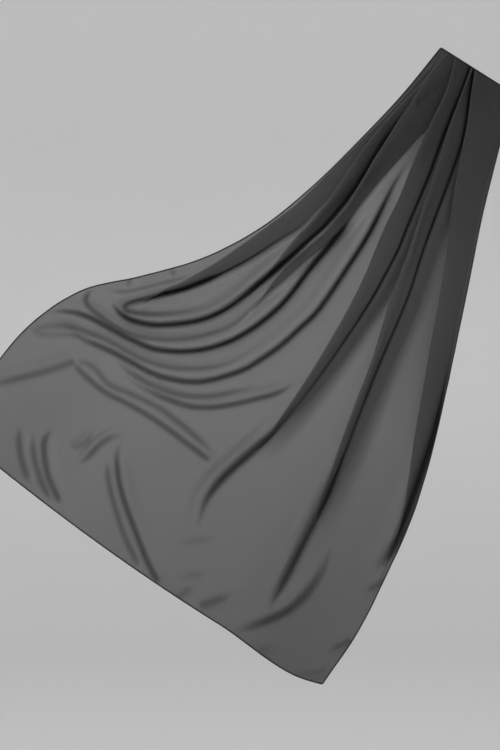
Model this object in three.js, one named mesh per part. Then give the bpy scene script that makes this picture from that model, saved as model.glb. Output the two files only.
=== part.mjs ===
// A sheer rectangular headscarf, held up at its gathered top hem and blown out to one side.
// Millimetres: X runs to the right, Y to the back and Z up.
// The origin is the middle of the gathered top hem, where the scarf is held.

import * as THREE from "three";

const CLOTH_WALL = 1;
const HEM_RADIUS = 1.1;
const HEM_SIDES = 6;
const SEAM_GAP = 0.3;
const HEM_END_INSET = 1.2;

// Share of a fold's lift at which its middle layer starts and ends, laid over and opened out.
const MIDDLE_LAID = { start: 0.45, end: 0.45 };
const MIDDLE_OPEN = { start: 0.35, end: 0.75 };
// How far the front layer of a fold takes to fall back: a multiple of its lift, and more near the held hem.
const FALL_PER_LIFT = 1.15;
const FALL_AT_HELD_HEM = 42;
const FALL_EASED_BY = 0.45;
// A fold lies over fully at an overlap of LAID_OVERLAP less STANDING_OVERLAP, and has opened out at one of
// STANDING_OVERLAP less than none.
const LAID_OVERLAP = 9;
const STANDING_OVERLAP = 6;

// Slow waves of the loose hem: depth, number across the width, and start in turns.
const FLUTTER = { depth: 14, waves: 2.2, start: 0.15 };

// Straight sections across the cloth, a tenth of the side hems apart, from the held hem to the loose one.
// left and right: the side hems' X and Z. back: how far back the cloth lies at its left, middle and right.
// sag: how far the middle of the section hangs below its chord.
const SECTIONS = [
  { left: [-56, 35], right: [58, -37], back: [23, 23, 23], sag: 0 },
  { left: [-120, -43], right: [34, -134], back: [19, 16, 19], sag: 0 },
  { left: [-191, -118], right: [10, -231], back: [14, 6, 13], sag: 0 },
  { left: [-264, -189], right: [-10, -330], back: [8, -8, 6], sag: 0 },
  { left: [-344, -253], right: [-30, -427], back: [2, -24, -2], sag: 0 },
  { left: [-435, -301], right: [-51, -526], back: [-2, -40, -10], sag: 0 },
  { left: [-533, -330], right: [-74, -623], back: [-2, -52, -16], sag: 0 },
  { left: [-632, -354], right: [-104, -718], back: [4, -60, -18], sag: 2 },
  { left: [-715, -410], right: [-145, -810], back: [16, -60, -16], sag: 6 },
  { left: [-781, -490], right: [-190, -899], back: [30, -54, -8], sag: 13 },
  { left: [-835, -576], right: [-246, -982], back: [46, -42, 4], sag: 22 },
];

// The laid folds, from the left. The cloth runs right to its hidden line, back left to its visible edge, and
// right again over both. down: share of the side hems. line and edge: distance from the left hem.
// lift: how far the front layer stands before the back one. Where edge passes line the fold has opened out.
const FOLDS = [
  [
    { down: 0, line: 45, edge: 4, lift: 9 },
    { down: 0.2, line: 46, edge: 6, lift: 10 },
    { down: 0.4, line: 39, edge: 8, lift: 12 },
    { down: 0.5, line: 43, edge: 17, lift: 12 },
    { down: 0.6, line: 50, edge: 41, lift: 16 },
    { down: 0.7, line: 56, edge: 76, lift: 6 },
    { down: 0.8, line: 58, edge: 84, lift: 0 },
    { down: 1, line: 58, edge: 84, lift: 0 },
  ],
  [
    { down: 0, line: 51, edge: 8, lift: 9 },
    { down: 0.2, line: 55, edge: 12, lift: 10 },
    { down: 0.3, line: 54, edge: 31, lift: 12 },
    { down: 0.4, line: 68, edge: 52, lift: 14 },
    { down: 0.5, line: 92, edge: 84, lift: 18 },
    { down: 0.6, line: 124, edge: 131, lift: 14 },
    { down: 0.7, line: 140, edge: 166, lift: 2 },
    { down: 1, line: 140, edge: 166, lift: 0 },
  ],
  [
    { down: 0, line: 56, edge: 12, lift: 9 },
    { down: 0.1, line: 61, edge: 18, lift: 10 },
    { down: 0.2, line: 70, edge: 38, lift: 12 },
    { down: 0.3, line: 79, edge: 61, lift: 14 },
    { down: 0.4, line: 102, edge: 82, lift: 14 },
    { down: 0.5, line: 142, edge: 136, lift: 17 },
    { down: 0.6, line: 176, edge: 192, lift: 11 },
    { down: 0.7, line: 192, edge: 216, lift: 0 },
    { down: 1, line: 222, edge: 248, lift: 0 },
  ],
  [
    { down: 0, line: 55, edge: 24, lift: 9 },
    { down: 0.1, line: 88, edge: 61, lift: 12 },
    { down: 0.2, line: 127, edge: 101, lift: 18 },
    { down: 0.3, line: 168, edge: 137, lift: 22 },
    { down: 0.4, line: 210, edge: 180, lift: 24 },
    { down: 0.5, line: 259, edge: 240, lift: 22 },
    { down: 0.6, line: 322, edge: 310, lift: 18 },
    { down: 0.7, line: 381, edge: 376, lift: 20 },
    { down: 0.8, line: 390, edge: 402, lift: 15 },
    { down: 0.9, line: 404, edge: 426, lift: 4 },
    { down: 1, line: 418, edge: 444, lift: 0 },
  ],
  [
    { down: 0, line: 63, edge: 48, lift: 9 },
    { down: 0.1, line: 115, edge: 93, lift: 12 },
    { down: 0.2, line: 159, edge: 133, lift: 18 },
    { down: 0.3, line: 206, edge: 182, lift: 22 },
    { down: 0.4, line: 261, edge: 238, lift: 24 },
    { down: 0.5, line: 327, edge: 313, lift: 24 },
    { down: 0.6, line: 410, edge: 399, lift: 22 },
    { down: 0.7, line: 499, edge: 485, lift: 21 },
    { down: 0.8, line: 553, edge: 538, lift: 17 },
    { down: 0.9, line: 576, edge: 580, lift: 13 },
    { down: 1, line: 580, edge: 606, lift: 3 },
  ],
  [
    { down: 0, line: 130, edge: 67, lift: 9 },
    { down: 0.1, line: 175, edge: 119, lift: 12 },
    { down: 0.2, line: 227, edge: 180, lift: 14 },
    { down: 0.3, line: 286, edge: 243, lift: 16 },
    { down: 0.4, line: 356, edge: 319, lift: 18 },
    { down: 0.5, line: 441, edge: 407, lift: 18 },
    { down: 0.6, line: 541, edge: 512, lift: 16 },
    { down: 0.7, line: 635, edge: 619, lift: 17 },
    { down: 0.8, line: 680, edge: 690, lift: 12 },
    { down: 0.9, line: 686, edge: 708, lift: 1 },
    { down: 1, line: 682, edge: 704, lift: 0 },
  ],
];

// Soft creases of the single layer, each a ridge towards the front along a smooth run of X and Z places.
// height: of its crest. crest: its width. steep and easy: the half widths of its steep side, which lies on the
// run itself, and of its gentle side, which lies to the right of the run's direction.
const CREASES = [
  {
    name: "upper swag", height: 13, crest: 18, steep: 5, easy: 9,
    run: [[-356, -346], [-394, -378], [-442, -400], [-506, -408], [-562, -392], [-592, -364]],
  },
  {
    name: "second swag", height: 13, crest: 19, steep: 5, easy: 10,
    run: [[-298, -358], [-340, -402], [-378, -426], [-442, -448], [-506, -448], [-570, -424], [-650, -386]],
  },
  {
    name: "third swag", height: 12, crest: 20, steep: 6, easy: 10,
    run: [[-112, -150], [-170, -259], [-250, -381], [-314, -442], [-378, -482], [-442, -499], [-506, -486],
      [-570, -453], [-618, -432]],
  },
  {
    name: "lowest swag", height: 8, crest: 14, steep: 6, easy: 10,
    run: [[-282, -496], [-346, -525], [-410, -538], [-474, -534], [-538, -514], [-568, -498]],
  },
  {
    name: "slack below the swags", height: 7, crest: 18, steep: 7, easy: 7,
    run: [[-422, -622], [-474, -572], [-538, -534], [-602, -500], [-648, -470]],
  },
  {
    name: "drag near the loose hem", height: 7, crest: 18, steep: 7, easy: 7,
    run: [[-536, -794], [-560, -736], [-578, -680], [-590, -640], [-588, -606]],
  },
  {
    name: "curl near the right corner", height: 8, crest: 22, steep: 7, easy: 14,
    run: [[-222, -760], [-266, -824], [-322, -880], [-392, -908]],
  },
];

// Rows of the cloth's grid: how many fill each stretch of the side hems.
const ROW_STRETCHES = [
  { from: 0, to: 0.46, count: 11 },
  { from: 0.46, to: 0.8, count: 20 },
  { from: 0.8, to: 1, count: 6 },
];
// Cells across: between neighbouring folds (from the left hem on), in a fold's middle layer and in a turn.
const SPAN_CELLS = [4, 4, 4, 10, 8, 6, 2];
const MIDDLE_CELLS = 2;
const TURN_CELLS = 2;

// Straight steps along each crease's run.
const CREASE_STEPS = 28;
// Share of a crease's run over which it rises at its start and fades at its end.
const CREASE_TAPER = 0.25;

const CLOTH_COLOR = 0x5a5a5c;
const HEM_COLOR = 0x3c3c3e;
const CLOTH_ROUGHNESS = 0.85;

const SECTION_COUNT = SECTIONS.length - 1;
const CREASE_LINES = CREASES.map((crease) => {
  const curve = new THREE.SplineCurve(crease.run.map(([x, z]) => new THREE.Vector2(x, z)));
  return { ...crease, line: curve.getSpacedPoints(CREASE_STEPS) };
});

/** A smooth step from 0 to 1 as t goes from 0 to 1. */
function easeStep(t) {
  const k = THREE.MathUtils.clamp(t, 0, 1);
  return k * k * (3 - 2 * k);
}

/** Reads value(row) at place x, smoothly, from rows that lie at place(row). */
function readSmooth(rows, place, value, x) {
  let i = 0;
  while (i < rows.length - 2 && x > place(rows[i + 1])) i += 1;
  const slope = (a, b) => (value(rows[b]) - value(rows[a])) / (place(rows[b]) - place(rows[a]));
  const step = place(rows[i + 1]) - place(rows[i]);
  const here = slope(i, i + 1);
  const before = i > 0 ? (slope(i - 1, i) + here) / 2 : here;
  const after = i + 2 < rows.length ? (slope(i + 1, i + 2) + here) / 2 : here;
  const t = THREE.MathUtils.clamp((x - place(rows[i])) / step, 0, 1);
  const start = value(rows[i]);
  const rise = value(rows[i + 1]) - start;
  const bend = (before + after) * step - 2 * rise;
  return start + t * (before * step + t * (rise - before * step + (t - 1) * bend));
}

/** Reads a column of the sections at a share down the side hems. */
function readSection(down, column) {
  const rows = SECTIONS.map((row, index) => ({ index, value: column(row) }));
  return readSmooth(rows, (row) => row.index, (row) => row.value, down * SECTION_COUNT);
}

/** The frame of one row of the cloth: its ends, width, depths and sag. */
function rowFrame(down) {
  const left = [0, 1].map((axis) => readSection(down, (row) => row.left[axis]));
  const right = [0, 1].map((axis) => readSection(down, (row) => row.right[axis]));
  const back = [0, 1, 2].map((place) => readSection(down, (row) => row.back[place]));
  const sag = readSection(down, (row) => row.sag);
  const width = Math.hypot(right[0] - left[0], right[1] - left[1]);
  return { down, left, right, back, sag, width };
}

/** The fold's line, edge and lift at a share down the side hems. */
function readFold(fold, down) {
  const column = (name) => readSmooth(fold, (row) => row.down, (row) => row[name], down);
  const line = column("line");
  const edge = column("edge");
  const lift = Math.max(column("lift"), 0);
  const laid = easeStep((line - edge + STANDING_OVERLAP) / LAID_OVERLAP);
  const opening = Math.max(edge - line, 0) / 4;
  const held = Math.max(1 - down / FALL_EASED_BY, 0) ** 2;
  const fall = Math.max(lift * FALL_PER_LIFT, 1) + FALL_AT_HELD_HEM * held;
  return { line, edge, lift, laid, opening, fall };
}

/** How far the front layer of the first count folds stands before the back one, at a place across. */
function frontLift(folds, count, across) {
  return folds.slice(0, count).reduce((sum, { line, lift, fall }) => (
    sum + lift * (1 - easeStep((across - line) / fall))
  ), 0);
}

/** The shares of a fold's lift at the start and the end of its middle layer. */
function middleShares({ laid }) {
  return {
    start: THREE.MathUtils.lerp(MIDDLE_OPEN.start, MIDDLE_LAID.start, laid),
    end: THREE.MathUtils.lerp(MIDDLE_OPEN.end, MIDDLE_LAID.end, laid),
  };
}

/** The points of one turn, from one layer up to the next, that bulges to the side given by way. */
function turnPoints(place, low, high, { laid, opening }, way) {
  const bulge = laid * (high - low) / 2;
  return Array.from({ length: TURN_CELLS + 1 }, (_, i) => {
    const angle = Math.PI * i / TURN_CELLS;
    return {
      across: place + way * bulge * Math.sin(angle) - opening * Math.cos(angle),
      lift: low + (high - low) * (1 - Math.cos(angle)) / 2,
    };
  });
}

/** The path of one row through all its layers: places across and lifts. */
function rowPath(down, width) {
  const folds = FOLDS.map((fold) => readFold(fold, down));
  const path = [{ across: 0, lift: frontLift(folds, 0, 0) }];
  const runTo = (across, cells, liftAt) => {
    const start = path[path.length - 1].across;
    for (let i = 1; i < cells; i += 1) {
      const place = THREE.MathUtils.lerp(start, across, i / cells);
      path.push({ across: place, lift: liftAt(place) });
    }
  };
  folds.forEach((fold, index) => {
    const backLift = (across) => frontLift(folds, index, across);
    const coverLift = (across) => frontLift(folds, index + 1, across);
    const { start, end } = middleShares(fold);
    const middleLift = (across) => {
      const done = THREE.MathUtils.clamp((fold.line - across) / (fold.line - fold.edge || 1), 0, 1);
      return backLift(across) + THREE.MathUtils.lerp(start, end, done) * fold.lift;
    };
    const hiddenTurn = turnPoints(fold.line, backLift(fold.line), middleLift(fold.line), fold, 1);
    const openTurn = turnPoints(fold.edge, middleLift(fold.edge), coverLift(fold.edge), fold, -1);
    runTo(hiddenTurn[0].across, SPAN_CELLS[index], backLift);
    path.push(...hiddenTurn);
    runTo(openTurn[0].across, MIDDLE_CELLS, middleLift);
    path.push(...openTurn);
  });
  const lastLift = (across) => frontLift(folds, folds.length, across);
  runTo(width, SPAN_CELLS[folds.length], lastLift);
  path.push({ across: width, lift: lastLift(width) });
  return path;
}

/** Height of one crease at a place of X and Z. */
function creaseHeight(crease, x, z) {
  let best = { distance: Infinity, side: 0, along: 0 };
  for (let i = 1; i < crease.line.length; i += 1) {
    const before = crease.line[i - 1];
    const run = crease.line[i].clone().sub(before);
    const offset = new THREE.Vector2(x, z).sub(before);
    const t = THREE.MathUtils.clamp(offset.dot(run) / run.lengthSq(), 0, 1);
    const distance = offset.clone().addScaledVector(run, -t).length();
    if (distance < best.distance) {
      const side = Math.sign(run.y * offset.x - run.x * offset.y) || 1;
      best = { distance, side, along: (i - 1 + t) / (crease.line.length - 1) };
    }
  }
  const place = best.distance * best.side;
  const rise = easeStep((place + crease.steep) / (2 * crease.steep));
  const fall = 1 - easeStep((place - crease.crest + crease.easy) / (2 * crease.easy));
  const taper = easeStep(best.along / CREASE_TAPER) * easeStep((1 - best.along) / CREASE_TAPER);
  return crease.height * rise * fall * taper;
}

/** The middle surface of the cloth at a row, a place across and a lift towards the front. */
function clothPoint(row, { across, lift }) {
  const share = across / row.width;
  const x = THREE.MathUtils.lerp(row.left[0], row.right[0], share);
  const z = THREE.MathUtils.lerp(row.left[1], row.right[1], share) - row.sag * 4 * share * (1 - share);
  const [left, middle, right] = row.back;
  const bow = (middle - (left + right) / 2) * 4 * share * (1 - share);
  const wave = Math.sin(2 * Math.PI * (FLUTTER.waves * share + FLUTTER.start));
  const back = THREE.MathUtils.lerp(left, right, share) + bow + FLUTTER.depth * row.down ** 3 * wave;
  const ridge = CREASE_LINES.reduce((sum, crease) => sum + creaseHeight(crease, x, z), 0);
  return new THREE.Vector3(x, back - lift - ridge, z);
}

/** The rows of points of the whole cloth. */
function clothGrid() {
  const downs = [0];
  ROW_STRETCHES.forEach(({ from, to, count }) => {
    for (let i = 1; i <= count; i += 1) downs.push(THREE.MathUtils.lerp(from, to, i / count));
  });
  return downs.map((down) => {
    const row = rowFrame(down);
    return rowPath(down, row.width).map((place) => clothPoint(row, place));
  });
}

/** The direction out of the cloth, towards the front on its first layer, at each point of the grid. */
function clothNormals(grid) {
  return grid.map((row, i) => row.map((_, j) => {
    const above = grid[Math.max(i - 1, 0)][j];
    const below = grid[Math.min(i + 1, grid.length - 1)][j];
    const before = row[Math.max(j - 1, 0)];
    const after = row[Math.min(j + 1, row.length - 1)];
    return below.clone().sub(above).cross(after.clone().sub(before)).normalize();
  }));
}

/** A closed geometry from its points and its triangles. */
function closedGeometry(points, triangles) {
  const geometry = new THREE.BufferGeometry();
  geometry.setAttribute("position", new THREE.Float32BufferAttribute(points.flatMap((p) => p.toArray()), 3));
  geometry.setIndex(triangles.flat());
  geometry.computeVertexNormals();
  return geometry;
}

/** The cloth as one thin closed wall about the grid. */
function clothWall(grid) {
  const normals = clothNormals(grid);
  const rows = grid.length;
  const columns = grid[0].length;
  const side = (way) => grid.flatMap((row, i) => row.map((point, j) => (
    point.clone().addScaledVector(normals[i][j], way * CLOTH_WALL / 2)
  )));
  const points = [...side(1), ...side(-1)];
  const front = (i, j) => i * columns + j;
  const back = (i, j) => rows * columns + front(i, j);
  const triangles = [];
  for (let i = 0; i < rows - 1; i += 1) {
    for (let j = 0; j < columns - 1; j += 1) {
      const falls = grid[i][j].distanceTo(grid[i + 1][j + 1]) < grid[i + 1][j].distanceTo(grid[i][j + 1]);
      const ring = falls
        ? [[i, j], [i + 1, j], [i + 1, j + 1], [i, j + 1]]
        : [[i + 1, j], [i + 1, j + 1], [i, j + 1], [i, j]];
      const [a, b, c, d] = ring.map(([r, k]) => front(r, k));
      const [e, f, g, h] = ring.map(([r, k]) => back(r, k));
      triangles.push([a, b, c], [a, c, d], [e, g, f], [e, h, g]);
    }
  }
  const strip = (places) => {
    for (let i = 1; i < places.length; i += 1) {
      const [a, b] = [places[i - 1], places[i]].map(([r, k]) => front(r, k));
      const [e, f] = [places[i - 1], places[i]].map(([r, k]) => back(r, k));
      triangles.push([a, b, f], [a, f, e]);
    }
  };
  const acrossPlaces = (row) => grid[0].map((_, j) => [row, j]);
  const downPlaces = (column) => grid.map((_, i) => [i, column]);
  strip(acrossPlaces(0));
  strip(downPlaces(columns - 1));
  strip(acrossPlaces(rows - 1).reverse());
  strip(downPlaces(0).reverse());
  return closedGeometry(points, triangles);
}

/** A rolled hem: a closed tube that follows a run of centre points. */
function hemTube(centres) {
  const points = [];
  const triangles = [];
  let across = null;
  centres.forEach((centre, i) => {
    const before = centres[Math.max(i - 1, 0)];
    const after = centres[Math.min(i + 1, centres.length - 1)];
    const run = after.clone().sub(before).normalize();
    const seed = across ?? new THREE.Vector3(0, 1, 0);
    across = seed.clone().addScaledVector(run, -seed.dot(run)).normalize();
    const other = run.clone().cross(across);
    for (let k = 0; k < HEM_SIDES; k += 1) {
      const angle = 2 * Math.PI * k / HEM_SIDES;
      points.push(centre.clone()
        .addScaledVector(across, HEM_RADIUS * Math.cos(angle))
        .addScaledVector(other, HEM_RADIUS * Math.sin(angle)));
    }
  });
  const at = (i, k) => i * HEM_SIDES + (k % HEM_SIDES);
  for (let i = 0; i < centres.length - 1; i += 1) {
    for (let k = 0; k < HEM_SIDES; k += 1) {
      triangles.push([at(i, k), at(i, k + 1), at(i + 1, k + 1)], [at(i, k), at(i + 1, k + 1), at(i + 1, k)]);
    }
  }
  const last = centres.length - 1;
  for (let k = 1; k < HEM_SIDES - 1; k += 1) {
    triangles.push([at(0, 0), at(0, k + 1), at(0, k)], [at(last, 0), at(last, k), at(last, k + 1)]);
  }
  return closedGeometry(points, triangles);
}

/** The centres of a hem: the cloth's edge points, moved straight out from the edge by the seam's gap. */
function hemCentres(edgePoints, innerPoints) {
  return edgePoints.map((point, i) => {
    const before = edgePoints[Math.max(i - 1, 0)];
    const after = edgePoints[Math.min(i + 1, edgePoints.length - 1)];
    const along = after.clone().sub(before).normalize();
    const out = point.clone().sub(innerPoints[i]);
    out.addScaledVector(along, -out.dot(along)).normalize();
    return point.clone().addScaledVector(out, SEAM_GAP + HEM_RADIUS);
  });
}

/** The run with both its ends drawn in by a length, or let out by it where that is negative. */
function drawIn(centres, length) {
  const moved = centres.map((point) => point.clone());
  const last = centres.length - 1;
  const towards = (from, to) => centres[to].clone().sub(centres[from]).normalize();
  moved[0].addScaledVector(towards(0, 1), length);
  moved[last].addScaledVector(towards(last, last - 1), length);
  return moved;
}

/** A named piece in its own cloth material. */
function piece(name, geometry, color) {
  const material = new THREE.MeshStandardMaterial({ color, roughness: CLOTH_ROUGHNESS, metalness: 0 });
  const mesh = new THREE.Mesh(geometry, material);
  mesh.name = name;
  return mesh;
}

const grid = clothGrid();
const lastRow = grid.length - 1;
const lastColumn = grid[0].length - 1;
const column = (index) => grid.map((row) => row[index]);
const sideReach = -(SEAM_GAP + 2 * HEM_RADIUS);

const group = new THREE.Group();
group.add(
  piece("scarf_panel", clothWall(grid), CLOTH_COLOR),
  piece("hem_left", hemTube(drawIn(hemCentres(column(0), column(1)), sideReach)), HEM_COLOR),
  piece(
    "hem_right",
    hemTube(drawIn(hemCentres(column(lastColumn), column(lastColumn - 1)), sideReach)),
    HEM_COLOR,
  ),
  piece("hem_top", hemTube(drawIn(hemCentres(grid[0], grid[1]), HEM_END_INSET)), HEM_COLOR),
  piece(
    "hem_bottom",
    hemTube(drawIn(hemCentres(grid[lastRow], grid[lastRow - 1]), HEM_END_INSET)),
    HEM_COLOR,
  ),
);

export default group;
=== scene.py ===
import logging
import math
from dataclasses import dataclass
from enum import Enum

import bpy
import numpy as np
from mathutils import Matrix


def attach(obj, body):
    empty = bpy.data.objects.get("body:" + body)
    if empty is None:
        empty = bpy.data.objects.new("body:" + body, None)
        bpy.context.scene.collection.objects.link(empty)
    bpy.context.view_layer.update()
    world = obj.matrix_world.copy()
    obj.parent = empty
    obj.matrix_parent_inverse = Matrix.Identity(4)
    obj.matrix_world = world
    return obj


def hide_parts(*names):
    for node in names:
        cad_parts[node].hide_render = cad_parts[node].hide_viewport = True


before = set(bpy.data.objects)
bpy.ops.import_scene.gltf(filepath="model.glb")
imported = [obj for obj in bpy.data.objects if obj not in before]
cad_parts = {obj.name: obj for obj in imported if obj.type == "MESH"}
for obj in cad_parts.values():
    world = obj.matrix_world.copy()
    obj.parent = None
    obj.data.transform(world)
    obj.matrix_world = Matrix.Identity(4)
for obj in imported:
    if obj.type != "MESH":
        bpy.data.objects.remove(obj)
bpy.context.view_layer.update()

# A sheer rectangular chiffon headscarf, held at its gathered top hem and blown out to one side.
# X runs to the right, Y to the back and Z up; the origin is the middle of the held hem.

MM = 0.001
MOST_SHEER_FACES = 48
LOG = logging.getLogger("headscarf")


class HemSide(Enum):
    """The four hems, each named after the solid that it stands for."""

    TOP = "hem_top"
    LEFT = "hem_left"
    RIGHT = "hem_right"
    BOTTOM = "hem_bottom"


@dataclass(frozen=True)
class Section:
    """One straight section across the cloth, in millimetres.

    left and right are the side hems' X and Z, back is how far back the cloth lies at its left, middle
    and right, and sag is how far the section's middle hangs below its chord.
    """

    left: tuple[float, float]
    right: tuple[float, float]
    back: tuple[float, float, float]
    sag: float = 0.0


@dataclass(frozen=True)
class FoldRow:
    """One laid fold at a share down the side hems.

    lift is how far its front layer stands before its back one, in millimetres, and the crush value is how
    much denser the cloth looks where it is pressed together along the fold's line and how much shade is
    painted into its colour there.
    """

    down: float
    lift: float
    crush_and_shade: float


@dataclass(frozen=True)
class LaidFold:
    """A fold of three layers: the cloth runs right to line, back left to edge and right again over both.

    Attributes:
        name: what the fold is, in a maker's words.
        line: X and Z places of its hidden turn, from the held hem down, in millimetres.
        edge: X and Z places of its turn that shows, which crosses over the line where the fold opens out.
        rows: its lift and crush down the side hems.
        band: how much denser the cloth looks for a short way past the line.
        reach: how far past the line that is.
        lead: the share of the crush value that thickens the front layer and paints shade on it before the
            line.
    """

    name: str
    line: tuple[tuple[float, float], ...]
    edge: tuple[tuple[float, float], ...]
    rows: tuple[FoldRow, ...]
    band: float = 0.0
    reach: float = 30.0
    lead: float = 0.0


@dataclass(frozen=True)
class Crease:
    """A soft ridge of the single layer along a smooth run of X and Z places, in millimetres.

    Attributes:
        name: what the crease is, in a maker's words.
        run: the places that its steep side follows.
        height: how far its crest stands to the front.
        crest: the width from its steep side to its gentle side.
        steep: half the width of the steep side.
        easy: half the width of the gentle side, which lies to the right of the run's direction.
        bunch: how much denser the cloth is along the steep side; it also paints shade into the colour there.
        fade: shares of the run over which it rises and fades.
        ends: its strength at the run's start and at its end.
        trail: how much denser the cloth is, and how much shade is painted, below the steep side where the
            run starts.
    """

    name: str
    run: tuple[tuple[float, float], ...]
    height: float
    crest: float = 19.0
    steep: float = 4.0
    easy: float = 6.0
    bunch: float = 1.0
    fade: tuple[float, float] = (0.25, 0.25)
    ends: tuple[float, float] = (1.0, 1.0)
    trail: float = 0.0


# Sections a tenth of the side hems apart, from the held hem to the loose one.
SECTIONS = (
    Section((-56, 35), (58, -37), (23, 23, 23)),
    Section((-120, -43), (34, -134), (19, 16, 19)),
    Section((-191, -118), (10, -231), (14, 6, 13)),
    Section((-264, -189), (-10, -330), (8, -8, 6)),
    Section((-344, -253), (-30, -427), (2, -24, -2)),
    Section((-435, -301), (-51, -526), (-2, -40, -10)),
    Section((-533, -330), (-74, -623), (-2, -52, -16)),
    Section((-632, -354), (-104, -718), (4, -60, -18), 2),
    Section((-715, -410), (-145, -810), (16, -60, -16), 6),
    Section((-781, -490), (-190, -899), (30, -54, -8), 13),
    Section((-835, -576), (-246, -982), (46, -42, 4), 22),
)

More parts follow.
